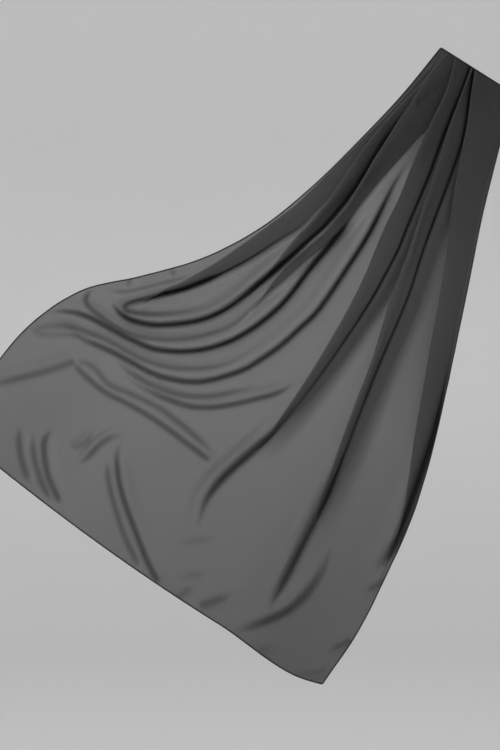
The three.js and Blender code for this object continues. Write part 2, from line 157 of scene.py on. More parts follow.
# The laid folds, from the left.
FOLDS = (
    LaidFold(
        "left roll",
        line=((-18, 11), (-82, -67), (-150, -141), (-210, -187), (-246, -216), (-282, -250), (-314, -270),
              (-362, -301), (-410, -326), (-466, -349), (-522, -363), (-586, -397), (-666, -496),
              (-787, -610)),
        edge=((-51, 32), (-122, -50), (-186, -115), (-218, -147), (-282, -210), (-314, -235), (-346, -259),
              (-378, -282), (-410, -304), (-442, -323), (-474, -341), (-506, -355), (-557, -397),
              (-637, -493), (-766, -624)),
        rows=(
            FoldRow(0.0, 9, 0.2), FoldRow(0.2, 10, 0.4), FoldRow(0.3, 11, 0.6), FoldRow(0.4, 12, 1.8),
            FoldRow(0.5, 12, 2.4), FoldRow(0.6, 10, 2.4), FoldRow(0.66, 4, 1.6), FoldRow(0.72, 0, 0),
            FoldRow(1.0, 0, 0),
        ),
        lead=0.25,
    ),
    LaidFold(
        "outer swag fold",
        line=((-13, 8), (-45, -13), (-82, -43), (-109, -66), (-126, -83), (-146, -110), (-168, -146),
              (-190, -184), (-210, -211), (-229, -234), (-246, -253), (-274, -277), (-298, -299),
              (-346, -341), (-394, -379), (-458, -406), (-530, -435), (-618, -528), (-720, -656)),
        edge=((-50, 30), (-83, -16), (-122, -56), (-141, -77), (-162, -102), (-184, -130), (-203, -158),
              (-216, -178), (-237, -208), (-266, -245), (-282, -261), (-296, -277), (-307, -291),
              (-320, -308), (-336, -326), (-354, -346), (-390, -382), (-442, -417), (-514, -451),
              (-595, -541), (-698, -670)),
        rows=(
            FoldRow(0.0, 9, 0.2), FoldRow(0.1, 9, 1.0), FoldRow(0.2, 10, 2.8), FoldRow(0.3, 12, 4.2),
            FoldRow(0.38, 12, 3.4), FoldRow(0.44, 10, 2.0), FoldRow(0.5, 6, 1.0), FoldRow(0.57, 0, 0),
            FoldRow(1.0, 0, 0),
        ),
        lead=0.55,
    ),
    LaidFold(
        "inner swag fold",
        line=((-10, 5), (-32, -29), (-54, -62), (-74, -91), (-90, -107), (-106, -125), (-122, -142),
              (-138, -160), (-154, -178), (-170, -197), (-184, -214), (-202, -238), (-221, -261),
              (-242, -280), (-274, -306), (-314, -342), (-354, -373), (-410, -416), (-490, -464),
              (-578, -560), (-653, -702)),
        edge=((-46, 29), (-70, 0), (-90, -30), (-106, -56), (-122, -78), (-146, -117), (-162, -141),
              (-176, -166), (-194, -195), (-210, -221), (-226, -238), (-242, -258), (-258, -272),
              (-274, -286), (-306, -317), (-333, -350), (-358, -387), (-406, -432), (-474, -477),
              (-554, -570), (-630, -717)),
        rows=(
            FoldRow(0.0, 9, 0), FoldRow(0.1, 10, 0), FoldRow(0.2, 12, 0.3), FoldRow(0.3, 14, 0.8),
            FoldRow(0.4, 13, 0.8), FoldRow(0.5, 8, 0.4), FoldRow(0.56, 3, 0.2), FoldRow(0.62, 0, 0),
            FoldRow(1.0, 0, 0),
        ),
        lead=0.7,
    ),
    LaidFold(
        "long middle fold",
        line=((-10, 6), (-22, -30), (-37, -64), (-51, -99), (-64, -134), (-77, -170), (-93, -208),
              (-112, -253), (-126, -288), (-147, -328), (-168, -366), (-211, -432), (-262, -504),
              (-318, -571), (-346, -600), (-378, -626), (-397, -643), (-418, -672), (-437, -706),
              (-458, -752), (-491, -813)),
        edge=((-34, 21), (-40, -8), (-51, -40), (-64, -67), (-78, -96), (-90, -125), (-104, -157),
              (-122, -203), (-138, -235), (-154, -270), (-173, -317), (-197, -368), (-227, -422),
              (-272, -496), (-326, -573), (-349, -602), (-368, -627), (-382, -653), (-400, -682),
              (-419, -720), (-438, -766), (-469, -827)),
        rows=(
            FoldRow(0.0, 9, 3.6), FoldRow(0.1, 12, 3.8), FoldRow(0.2, 18, 3.4), FoldRow(0.3, 22, 3.0),
            FoldRow(0.4, 24, 2.8), FoldRow(0.5, 22, 2.4), FoldRow(0.6, 17, 2.0), FoldRow(0.66, 11, 1.6),
            FoldRow(0.72, 4, 0.9), FoldRow(0.76, 0, 0), FoldRow(1.0, 0, 0),
        ),
        band=1.15,
        reach=38.0,
    ),
    LaidFold(
        "long right fold",
        line=((-5, 0), (-10, -32), (-16, -75), (-22, -109), (-30, -136), (-43, -173), (-56, -208),
              (-74, -256), (-88, -296), (-112, -368), (-154, -467), (-187, -550), (-221, -637),
              (-240, -683), (-262, -728), (-290, -784), (-317, -835), (-336, -870), (-358, -906)),
        edge=((-8, 3), (-21, -32), (-40, -82), (-50, -112), (-61, -149), (-82, -210), (-90, -234),
              (-106, -285), (-118, -317), (-138, -370), (-165, -459), (-192, -531), (-210, -578),
              (-227, -627), (-242, -669), (-256, -720), (-275, -778), (-298, -832), (-315, -875),
              (-336, -920)),
        rows=(
            FoldRow(0.0, 9, 2.6), FoldRow(0.1, 12, 2.8), FoldRow(0.2, 18, 2.8), FoldRow(0.3, 22, 2.6),
            FoldRow(0.5, 24, 2.6), FoldRow(0.6, 19, 2.4), FoldRow(0.68, 11, 2.0), FoldRow(0.75, 4, 1.0),
            FoldRow(0.8, 1, 0.3), FoldRow(0.84, 0, 0), FoldRow(1.0, 0, 0),
        ),
        band=1.2,
        reach=44.0,
    ),
    LaidFold(
        "right roll",
        line=((51, -42), (34, -120), (18, -173), (5, -232), (-6, -288), (-26, -379), (-42, -464),
              (-56, -528), (-70, -592), (-91, -656), (-114, -717), (-134, -763), (-163, -822),
              (-202, -886), (-238, -936), (-274, -963)),
        edge=((-2, -2), (-8, -40), (-13, -80), (-19, -112), (-27, -152), (-37, -208), (-46, -288),
              (-59, -368), (-74, -448), (-88, -528), (-99, -592), (-107, -648), (-117, -704),
              (-131, -752), (-152, -811), (-186, -874), (-221, -925), (-256, -976)),
        rows=(
            FoldRow(0.0, 9, 0.2), FoldRow(0.2, 14, 0.3), FoldRow(0.4, 18, 0.6), FoldRow(0.5, 18, 1.4),
            FoldRow(0.6, 14, 2.0), FoldRow(0.7, 9, 2.0), FoldRow(0.78, 3, 0.8), FoldRow(0.84, 0, 0),
            FoldRow(1.0, 0, 0),
        ),
        band=0.7,
        reach=30.0,
        lead=0.8,
    ),
)

# The soft creases, the large ones first.
CREASES = (
    Crease(
        "upper swag",
        ((-253, -261), (-298, -299), (-346, -339), (-394, -378), (-442, -400), (-506, -408), (-546, -402),
         (-566, -392), (-578, -380), (-584, -368)),
        height=8, crest=17, easy=9, bunch=2.2, fade=(0.2, 0.3), trail=0.9,
    ),
    Crease(
        "second swag",
        ((-198, -234), (-221, -264), (-266, -318), (-314, -378), (-378, -426), (-442, -448), (-506, -448),
         (-546, -434), (-578, -418), (-606, -402), (-634, -390), (-666, -386), (-690, -389)),
        height=8, crest=19, easy=11, bunch=2.5, fade=(0.1, 0.2), ends=(1.0, 0.55), trail=1.0,
    ),
    Crease(
        "third swag",
        ((-109, -144), (-138, -195), (-170, -259), (-202, -310), (-250, -381), (-282, -413), (-314, -442),
         (-346, -464), (-378, -482), (-442, -499), (-506, -490), (-554, -466), (-578, -453), (-602, -442),
         (-622, -434), (-642, -424), (-666, -422)),
        height=8, crest=20, easy=11, bunch=1.9, fade=(0.12, 0.2), ends=(1.0, 0.6), trail=0.7,
    ),
    Crease(
        "lowest swag",
        ((-282, -496), (-314, -515), (-346, -525), (-394, -536), (-426, -540), (-458, -538), (-490, -528),
         (-518, -516), (-546, -502), (-574, -484)),
        height=6, crest=14, easy=8, bunch=0.75, fade=(0.16, 0.35),
    ),
    Crease(
        "hooked line between the upper swags",
        ((-298, -331), (-330, -357), (-366, -388), (-394, -410), (-442, -426), (-482, -431), (-514, -430),
         (-546, -424), (-574, -412), (-598, -396), (-616, -382), (-624, -370), (-622, -360), (-612, -349)),
        height=2.5, crest=9, steep=3.6, easy=5, bunch=0.95, fade=(0.3, 0.12), ends=(0.7, 1.15),
    ),
    Crease(
        "line between the second and third swags",
        ((-330, -424), (-362, -450), (-394, -468), (-426, -476), (-466, -478), (-494, -475), (-526, -466),
         (-554, -452), (-586, -434), (-614, -422), (-642, -413), (-668, -411), (-694, -414)),
        height=2, crest=9, steep=3.6, easy=5, bunch=0.9, fade=(0.3, 0.2), ends=(0.7, 1.0),
    ),
    Crease(
        "line over the lowest swag",
        ((-330, -494), (-362, -508), (-394, -516), (-426, -522), (-466, -521), (-498, -512), (-526, -500),
         (-550, -486), (-566, -474), (-580, -462)),
        height=2, crest=8, steep=3.6, easy=5, bunch=0.8, fade=(0.3, 0.3),
    ),
    Crease(
        "rounded end of the left roll",
        ((-400, -322), (-418, -330), (-442, -340), (-466, -349), (-490, -356), (-514, -362), (-534, -367),
         (-550, -371), (-559, -375), (-562, -380), (-558, -385), (-548, -388), (-532, -390), (-516, -391),
         (-494, -390), (-474, -388), (-450, -384), (-426, -378), (-404, -368), (-384, -355)),
        height=4, crest=9, steep=3.8, easy=5, bunch=2.0, fade=(0.1, 0.35), ends=(1.3, 0.05),
    ),
    Crease(
        "slack below the swags",
        ((-424, -629), (-434, -619), (-463, -597), (-506, -565), (-548, -539), (-591, -517), (-618, -496),
         (-634, -481), (-645, -471)),
        height=5, crest=15, easy=6, bunch=0.7, fade=(0.16, 0.12), ends=(1.1, 0.8),
    ),
    Crease(
        "tail of the long middle fold",
        ((-272, -517), (-318, -571), (-346, -600), (-378, -628), (-397, -645), (-415, -664), (-432, -689),
         (-441, -716), (-445, -738)),
        height=8, crest=22, steep=5.5, easy=8, bunch=1.6, fade=(0.3, 0.45),
    ),
    Crease(
        "tail of the long right fold",
        ((-198, -578), (-221, -637), (-240, -683), (-262, -728), (-284, -772), (-303, -810), (-316, -834),
         (-328, -854), (-338, -868)),
        height=8, crest=16, steep=5.5, easy=7, bunch=1.6, fade=(0.25, 0.45), trail=0.5,
    ),
    Crease(
        "line left of the right fold's tail",
        ((-214, -586), (-236, -648), (-262, -706), (-286, -756), (-306, -798), (-322, -832), (-330, -856)),
        height=2, crest=7, steep=3, easy=4, bunch=0.5, fade=(0.3, 0.6),
    ),
    Crease(
        "line left of the middle fold's tail",
        ((-302, -566), (-338, -588), (-370, -612), (-396, -634), (-414, -650), (-430, -672)),
        height=2, crest=7, steep=3, easy=4, bunch=0.25, fade=(0.3, 0.5),
    ),
    Crease(
        "turn-back at the right hem",
        ((-42, -467), (-54, -528), (-70, -592), (-90, -653), (-102, -688), (-115, -730), (-131, -762),
         (-148, -786), (-166, -804)),
        height=7, crest=18, steep=6, easy=8, bunch=1.6, fade=(0.25, 0.25),
    ),
    Crease(
        "curl near the right corner",
        ((-226, -752), (-235, -775), (-246, -800), (-262, -826), (-284, -851), (-310, -870), (-340, -883),
         (-368, -893), (-396, -906)),
        height=4, crest=20, steep=5.5, easy=12, bunch=1.1, fade=(0.5, 0.3),
    ),
    Crease(
        "small fold on the right hem",
        ((-190, -838), (-176, -834), (-162, -827), (-144, -816)),
        height=3, crest=11, bunch=1.0, fade=(0.6, 0.02), ends=(0.4, 1.0),
    ),
    Crease(
        "drag near the loose hem",
        ((-506, -822), (-516, -806), (-527, -784), (-540, -751), (-553, -717), (-566, -680), (-573, -645),
         (-574, -613), (-564, -590)),
        height=5, crest=18, easy=10, bunch=0.95, fade=(0.06, 0.25),
    ),
    Crease(
        "long pull at the left hem",
        ((-640, -465), (-650, -469), (-666, -475), (-692, -483), (-730, -493), (-762, -501), (-790, -508)),
        height=3, crest=17, steep=5, easy=9, bunch=0.65, fade=(0.1, 0.3),
    ),
    Crease(
        "first flutter",
        ((-713, -664), (-725, -632), (-731, -600), (-731, -566)),
        height=3, crest=16, steep=4.5, easy=9, bunch=0.6, fade=(0.2, 0.3),
    ),
    Crease(
        "second flutter",
        ((-678, -691), (-691, -669), (-702, -640), (-709, -608), (-709, -573)),
        height=3, crest=13, steep=4.5, easy=7, bunch=0.6, fade=(0.2, 0.3),
    ),
    Crease(
        "third flutter",
        ((-664, -696), (-675, -672), (-685, -648), (-691, -616), (-690, -592), (-675, -570)),
        height=4, crest=14, steep=4.5, easy=8, bunch=0.85, fade=(0.12, 0.25),
    ),
    Crease(
        "short drag",
        ((-554, -581), (-586, -589), (-605, -602), (-621, -619), (-643, -638)),
        height=4, crest=12, steep=4.5, easy=5, bunch=0.6, fade=(0.35, 0.35),
    ),
    Crease(
        "shorter drag",
        ((-608, -571), (-621, -592), (-637, -602), (-653, -603)),
        height=3, crest=10, steep=4.5, easy=5, bunch=0.4, fade=(0.35, 0.35),
    ),
    Crease(
        "upper line of the slack",
        ((-418, -615), (-442, -592), (-474, -565), (-506, -541), (-548, -520), (-586, -504), (-607, -480),
         (-622, -470), (-636, -467)),
        height=1.5, crest=8, easy=4, bunch=0.7, fade=(0.16, 0.14), ends=(1.1, 0.7),
    ),
    Crease(
        "left line of the drag",
        ((-538, -795), (-550, -773), (-566, -736), (-581, -688), (-589, -648), (-590, -624)),
        height=1.5, crest=8, easy=5, bunch=0.6, fade=(0.12, 0.2),
    ),
    Crease(
        "fine line over the third swag's end",
        ((-626, -413), (-658, -406), (-690, -411), (-720, -418)),
        height=1.5, crest=8, easy=4, bunch=0.35,
    ),
    Crease(
        "fine line over the slack's end",
        ((-613, -427), (-650, -424), (-690, -424), (-714, -418)),
        height=1.5, crest=8, easy=4, bunch=0.3,
    ),
    Crease(
        "first tick at the left hem",
        ((-554, -330), (-557, -349)),
        height=1, crest=5, steep=3, easy=3, bunch=0.5, fade=(0.2, 0.5),
    ),
    Crease(
        "second tick at the left hem",
        ((-486, -318), (-483, -333)),
        height=1, crest=5, steep=3, easy=3, bunch=0.5, fade=(0.2, 0.5),
    ),
    Crease(
        "line along the left hem",
        ((-594, -349), (-566, -355), (-538, -350), (-490, -338), (-442, -325)),
        height=1.5, crest=7, steep=3, easy=4, bunch=0.35,
    ),
    Crease(
        "first slack line over the loose hem",
        ((-478, -757), (-446, -753), (-410, -748)),
        height=1.5, crest=12, steep=5, easy=6, bunch=0.2, fade=(0.4, 0.4),
    ),
    Crease(
        "second slack line over the loose hem",
        ((-478, -812), (-450, -808), (-424, -805)),
        height=1.5, crest=12, steep=5, easy=6, bunch=0.22, fade=(0.4, 0.4),
    ),
    Crease(
        "pucker beside the corner",
        ((-294, -966), (-276, -966), (-250, -962), (-232, -950)),
        height=2, crest=9, easy=5, bunch=0.4,
    ),
    Crease(
        "lower hem pucker",
        ((-446, -860), (-430, -854), (-411, -847), (-396, -841), (-380, -834)),
        height=3, crest=14, steep=5.5, bunch=0.8, fade=(0.15, 0.6),
    ),
    Crease(
        "faint lower hem pucker",
        ((-490, -850), (-472, -840), (-450, -826)),
        height=2, crest=12, steep=5.5, bunch=0.4,
    ),
    Crease(
        "pucker left of the corner",
        ((-352, -930), (-332, -924), (-314, -912)),
        height=2, crest=9, bunch=0.45, fade=(0.1, 0.7),
    ),
    Crease(
        "pucker right of the corner",
        ((-246, -938), (-230, -927), (-216, -920), (-200, -912)),
        height=3, crest=10, bunch=1.0, fade=(0.6, 0.02), ends=(0.4, 1.0),
    ),
)


def ease(t: np.ndarray | float) -> np.ndarray:
    """Smooth step.

    Args:
        t: values that rise from 0 to 1.

    Returns:
        The eased values, held at 0 and 1 outside that range.
    """
    k = np.clip(t, 0.0, 1.0)
    return k * k * (3.0 - 2.0 * k)


def blend(a: float, b: float, share: np.ndarray | float) -> np.ndarray | float:
    """The value at a share of the way from a to b."""
    return a + (b - a) * share


def read_smooth(places: list[float], values: list[float], x: float) -> float:
    """Read a table's column between its rows.

    Args:
        places: where the rows lie, rising.
        values: the column's values there.
        x: the place to read.

    Returns:
        The value on a smooth curve through the rows.
    """
    i = 0
    while i < len(places) - 2 and x > places[i + 1]:
        i += 1
    slopes = [(b - a) / (q - p) for a, b, p, q in zip(values, values[1:], places, places[1:])]
    before = (slopes[i - 1] + slopes[i]) / 2 if i else slopes[i]
    after = (slopes[i + 1] + slopes[i]) / 2 if i + 1 < len(slopes) else slopes[i]
    step = places[i + 1] - places[i]
    t = min(max((x - places[i]) / step, 0.0), 1.0)
    rise = values[i + 1] - values[i]
    bend = (before + after) * step - 2 * rise
    return values[i] + t * (before * step + t * (rise - before * step + (t - 1) * bend))


@dataclass(frozen=True)
class FoldState:
    """One laid fold as it lies at one row, in millimetres from the left hem."""

    line: float
    edge: float
    lift: float
    crush_and_shade: float
    band: float
    reach: float
    lead: float
    thin: float
    laid: float
    opening: float
    fall: float


def cross_row(run: np.ndarray, left: np.ndarray, way: np.ndarray) -> float:
    """Find where a run of places crosses a row.

    Args:
        run: the run's points, from the held hem down.
        left: the row's left end.
        way: the row's direction to the right, of length 1.

    Returns:
        How far along the row it crosses; a run that falls short is lengthened straight.
    """
    from_left = run - left
    past = from_left @ np.array((way[1], -way[0]))
    along = from_left @ way
    crossed = np.flatnonzero((past[:-1] < 0) & (past[1:] >= 0))
    if len(crossed):
        i = int(crossed[-1])
    else:
        i = 0 if past[0] >= 0 else len(run) - 2
    t = -past[i] / (past[i + 1] - past[i])
    return float(along[i] + t * (along[i + 1] - along[i]))


@dataclass
class ClothForm:
    """The form of the cloth: sections, laid folds and creases, all in millimetres."""

    middle_laid: tuple[float, float] = (0.45, 0.45)
    middle_open: tuple[float, float] = (0.35, 0.75)
    laid_overlap: float = 9.0
    standing_overlap: float = 6.0
    fall_per_lift: float = 1.15
    fall_at_held_hem: float = 42.0
    fall_eased_by: float = 0.45
    least_width: float = 1.0
    opening_share: float = 0.25
    crown: float = 0.22
    flutter_depth: float = 14.0
    flutter_waves: float = 2.2
    flutter_start: float = 0.15
    row_stretches: tuple[tuple[float, float, int], ...] = ((0, 0.4, 34), (0.4, 0.8, 94), (0.8, 1, 54))
    first_cells: int = 26
    lap_cells: int = 3
    line_places: tuple[float, ...] = (-6.5, -4.0, -2.0, 0.0, 1.6, 3.4, 6.0)
    least_cell: float = 0.7
    open_cells: tuple[int, ...] = (13, 13, 50, 20, 16, 2)
    middle_cells: int = 4
    turn_cells: int = 4
    crease_steps: int = 48
    run_steps: int = 6
    crush_middle: float = 1.0
    crush_width: float = 2.6
    lead_width: float = 13.0
    bunch_per_steep: float = 1.1
    narrowest: float = 0.55
    trail_width: float = 10.0
    trail_fade: float = 1.6
    band_start: float = 10.0
    full_lift: float = 12.0
    thin_below: float = 9.0
    thin_from: float = 3.0
    black_at: float = 2.6
    corner_drop: float = 11.0
    corner_from: float = 0.72
    corner_to: float = 0.9
    corner_rows: float = 0.07
    eye: tuple[float, float] = (-361.6, -488.0)
    eye_distance: float = 4600.0

    def __post_init__(self) -> None:
        """Smooth the folds' runs once."""
        self.runs = [
            tuple(smooth_run(run, self.run_steps * len(run)) for run in (fold.line, fold.edge))
            for fold in FOLDS
        ]

    def fold_at(self, index: int, down: float, left: np.ndarray, way: np.ndarray) -> FoldState:
        """Read one fold at a row.

        Args:
            index: which fold it is, from the left.
            down: share down the side hems.
            left: the row's left end.
            way: the row's direction.

        Returns:
            The fold's sizes there.
        """
        fold = FOLDS[index]
        line, edge = (cross_row(run, left, way) for run in self.runs[index])
        places = [row.down for row in fold.rows]
        lift, crush_and_shade = (
            max(read_smooth(places, [getattr(row, name) for row in fold.rows], down), 0.0)
            for name in ("lift", "crush_and_shade")
        )
        held = max(1 - down / self.fall_eased_by, 0.0) ** 2
        flat = 1 - ease(lift / self.thin_below)
        return FoldState(
            line=line,
            edge=max(edge, self.least_width),
            lift=lift,
            crush_and_shade=crush_and_shade,
            band=fold.band * min(lift / self.full_lift, 1.0),
            reach=fold.reach,
            lead=fold.lead,
            thin=float(flat * ease((line - edge) / self.thin_from)) * (1 - held),
            laid=float(ease((line - edge + self.standing_overlap) / self.laid_overlap)),
            opening=max(edge - line, 0.0) * self.opening_share,
            fall=max(lift * self.fall_per_lift, self.least_width) + self.fall_at_held_hem * held,
        )

    def front_lift(self, folds: list[FoldState], across: np.ndarray) -> np.ndarray:
        """How far the front layer of the given folds stands before the back one.

        Args:
            folds: the folds whose layers lie there.
            across: places from the left hem.

        Returns:
            The lift at each place.
        """
        total = np.zeros_like(across)
        for fold in folds:
            lap = max(fold.line - fold.edge, self.least_width)
            crown = self.crown * fold.laid * ease((across - fold.edge) / lap) ** 2
            total += fold.lift * (1 - crown) * (1 - ease((across - fold.line) / fold.fall))
        return total

    def bunching(self, folds: list[FoldState], across: np.ndarray) -> np.ndarray:
        """How much denser the cloth looks past the lines of the folds whose front layers lie there, and how
        much shade is painted there.

        Args:
            folds: the folds.
            across: places from the left hem.

        Returns:
            The added density at each place, and the painted shade there, which darkens the base colour.
        """
        total, painted_shade = np.zeros_like(across), np.zeros_like(across)
        for fold in folds:
            past = across - fold.line
            line = fold.crush_and_shade * np.exp(-((past - self.crush_middle) / self.crush_width) ** 2)
            line += fold.crush_and_shade * fold.lead * np.exp(np.minimum(past, 0) / self.lead_width) * (past <= 0)
            fading = (past - self.band_start) / (fold.reach - self.band_start)
            total += line + fold.band * (1 - ease(fading)) * (past > 0)
            total -= fold.thin * (past < 0) * (across > fold.edge)
            # Painted shade: each fold's dark line, and the shade before it, darken the colour as well as
            # thicken the cloth.
            painted_shade += line / self.black_at
        return np.stack((total, painted_shade), axis=1)

    def turn(self, place: float, low: float, high: float, fold: FoldState, way: int) -> np.ndarray:
        """The points of one turn from one layer to the next.

        Args:
            place: where the turn lies across.
            low: the lift that it starts from.
            high: the lift that it ends at.
            fold: the fold that it belongs to.
            way: the side it bulges to, 1 or -1.

        Returns:
            An array of places across, lifts, added density and painted shade.
        """
        angle = np.linspace(0, math.pi, self.turn_cells + 1)
        bulge = fold.laid * (high - low) / 2
        across = place + way * bulge * (np.sin(angle) - 1) - fold.opening * np.cos(angle)
        lift = low + (high - low) * (1 - np.cos(angle)) / 2
        return self.under(across, lift, fold)

    @staticmethod
    def under(across: np.ndarray, lift: np.ndarray, fold: FoldState) -> np.ndarray:
        """Rows of a fold's own layers: places across, lifts, added density and painted shade."""
        return np.column_stack((across, lift, np.full(len(across), -fold.thin), np.zeros(len(across))))

    def row_path(self, down: float, left: np.ndarray, right: np.ndarray) -> np.ndarray:
        """Follow the cloth through all its layers at one row.

        Args:
            down: share down the side hems.
            left: the row's left end.
            right: its right end.

        Returns:
            An array of places across, lifts, added density and painted shade.
        """
        width = float(np.hypot(*(right - left)))
        way = (right - left) / width
        folds = [self.fold_at(index, down, left, way) for index in range(len(FOLDS))]
        parts: list[np.ndarray] = []
        start = 0.0
        for index, fold in enumerate(folds):
            behind, over = folds[:index], folds[:index + 1]
            first, last = (blend(a, b, fold.laid) for a, b in zip(self.middle_open, self.middle_laid))
            line, edge = np.array([fold.line]), np.array([fold.edge])
            low = float(self.front_lift(behind, line)[0])
            hidden = self.turn(fold.line, low, low + first * fold.lift, fold, 1)
            middle_end = float(self.front_lift(behind, edge)[0]) + last * fold.lift
            shown = self.turn(fold.edge, middle_end, float(self.front_lift(over, edge)[0]), fold, -1)
            parts.append(self.span(behind, start, hidden[0, 0], index))
            parts.append(hidden)
            parts.append(self.middle(behind, fold, (first, last), hidden[-1, 0], shown[0, 0]))
            parts.append(shown)
            start = shown[-1, 0]
        parts.append(self.span(folds, start, width, len(folds)))
        return np.concatenate(parts)

    def span(self, folds: list[FoldState], start: float, end: float, index: int) -> np.ndarray:
        """The run between two folds, without its end points where a turn has them.

        Args:
            folds: the folds whose front layers lie there.
            start: where it starts across.
            end: where it ends across.
            index: how many folds lie to its left.

        Returns:
            An array of places across, lifts, added density and painted shade.
        """
        end = max(end, start + self.least_width)
        if not folds:
            across = np.linspace(start, end, self.first_cells + 1)[:-1]
        else:
            rest = self.open_cells[index - 1]
            least = min(self.least_cell, (end - start) / (self.lap_cells + len(self.line_places) + rest))
            count = np.arange(len(self.line_places))
            close = folds[-1].line + np.array(self.line_places)
            close = np.maximum(close, start + least * (count + self.lap_cells))
            close = np.minimum(close, end - least * (rest + count[::-1]))
            lap = np.linspace(start, close[0], self.lap_cells + 1)[1:-1]
            across = np.concatenate((lap, close, np.linspace(close[-1], end, rest + 1)[1:]))
            if index < len(FOLDS):
                across = across[:-1]
        return np.column_stack((across, self.front_lift(folds, across), self.bunching(folds, across)))

    def middle(
        self, behind: list[FoldState], fold: FoldState, shares: tuple[float, float], start: float, end: float
    ) -> np.ndarray:
        """The middle layer of a fold, without its end points.

        Args:
            behind: the folds that lie behind it.
            fold: the fold itself.
            shares: the shares of the lift at which it starts and ends.
            start: where it starts across.
            end: where it ends across.

        Returns:
            An array of places across, lifts, added density and painted shade.
        """
        across = np.linspace(start, end, self.middle_cells + 1)[1:-1]
        done = np.clip((fold.line - across) / ((fold.line - fold.edge) or 1), 0, 1)
        lift = self.front_lift(behind, across) + blend(*shares, done) * fold.lift
        return self.under(across, lift, fold)

    def creases(self, x: np.ndarray, z: np.ndarray) -> tuple[np.ndarray, np.ndarray]:
        """Height and added density of all the soft creases.

        Args:
            x: places to the right.
            z: places up.

        Returns:
            The ridges' height and the added density at each place.
        """
        height, bunch = np.zeros_like(x), np.zeros_like(x)
        for crease in CREASES:
            line = smooth_run(crease.run, self.crease_steps)
            away, side, along = np.full_like(x, np.inf), np.ones_like(x), np.zeros_like(x)
            for i, (a, b) in enumerate(zip(line, line[1:])):
                run = b - a
                dx, dz = x - a[0], z - a[1]
                t = np.clip((dx * run[0] + dz * run[1]) / (run @ run), 0, 1)
                distance = np.hypot(dx - t * run[0], dz - t * run[1])
                nearer = distance < away
                away = np.where(nearer, distance, away)
                side = np.where(nearer, np.where(run[1] * dx - run[0] * dz < 0, -1.0, 1.0), side)
                along = np.where(nearer, (i + t) / (len(line) - 1), along)
            place = away * side
            rise = ease((place + crease.steep) / (2 * crease.steep))
            fall = 1 - ease((place - crease.crest + crease.easy) / (2 * crease.easy))
            taper = ease(along / crease.fade[0]) * ease((1 - along) / crease.fade[1])
            taper *= blend(*crease.ends, along)
            width = crease.steep * self.bunch_per_steep * blend(self.narrowest, 1, np.minimum(taper, 1))
            height += crease.height * rise * fall * taper
            bunch += crease.bunch * taper * np.exp(-(place / width) ** 2)
            below = np.exp(np.minimum(place, 0) / self.trail_width) * (place < 0)
            bunch += crease.trail * taper * np.maximum(1 - self.trail_fade * along, 0) * below
        return height, bunch

    def grid(self) -> "ClothGrid":
        """Work out the whole cloth.

        The sections and runs were read off the picture plane, so each point is moved a little away from
        the middle of the view where it lies behind that plane, and towards it where it lies before it.

        Returns:
            The cloth's rows of points, in metres, with their added density, painted shade and places across.
        """
        downs = [0.0]
        for start, end, count in self.row_stretches:
            downs += [start + (end - start) * (i + 1) / count for i in range(count)]
        tenths = [index / (len(SECTIONS) - 1) for index in range(len(SECTIONS))]
        rows: list[np.ndarray] = []
        dressed: list[np.ndarray] = []
        for down in downs:
            left, right = (
                np.array([
                    read_smooth(tenths, [getattr(s, end)[axis] for s in SECTIONS], down) for axis in (0, 1)
                ])
                for end in ("left", "right")
            )
            back = [read_smooth(tenths, [s.back[k] for s in SECTIONS], down) for k in range(3)]
            sag = read_smooth(tenths, [s.sag for s in SECTIONS], down)
            path = self.row_path(down, left, right)
            share = path[:, 0] / float(np.hypot(*(right - left)))
            hump = 4 * share * (1 - share)
            x = blend(left[0], right[0], share)
            full = ease((share - self.corner_from) / (self.corner_to - self.corner_from))
            full = full * np.sin(math.pi / 2 * np.clip((1 - share) / (1 - self.corner_to), 0, 1))
            drop = self.corner_drop * float(ease((down - 1 + self.corner_rows) / self.corner_rows))
            z = blend(left[1], right[1], share) - sag * hump - drop * full
            wave = np.sin(2 * math.pi * (self.flutter_waves * share + self.flutter_start))
            depth = blend(back[0], back[2], share) + (back[1] - (back[0] + back[2]) / 2) * hump
            y = depth + self.flutter_depth * down ** 3 * wave - path[:, 1]
            rows.append(np.column_stack((x, y, z)))
            dressed.append(np.column_stack((path[:, 2:], share)))
        points, dress = np.array(rows), np.array(dressed)
        height, bunch = self.creases(points[..., 0], points[..., 2])
        points[..., 1] -= height
        spread = 1 + points[..., 1] / self.eye_distance
        for axis, middle in zip((0, 2), self.eye):
            points[..., axis] = middle + (points[..., axis] - middle) * spread
        # Painted shade: the creases' added density darkens the colour too.
        painted_shade = dress[..., 1] + bunch / self.black_at
        return ClothGrid(points * MM, dress[..., 0] + bunch, painted_shade, dress[..., 2], np.array(downs))


def smooth_run(places: tuple[tuple[float, float], ...], steps: int) -> np.ndarray:
    """A smooth line through a few places.

    Args:
        places: the places, in order.
        steps: how many straight steps it takes.

    Returns:
        Its points.
    """
    knots = [float(i) for i in range(len(places))]
    spots = np.linspace(0, knots[-1], steps + 1)
    return np.array([
        [read_smooth(knots, [place[axis] for place in places], float(spot)) for axis in (0, 1)]
        for spot in spots
    ])


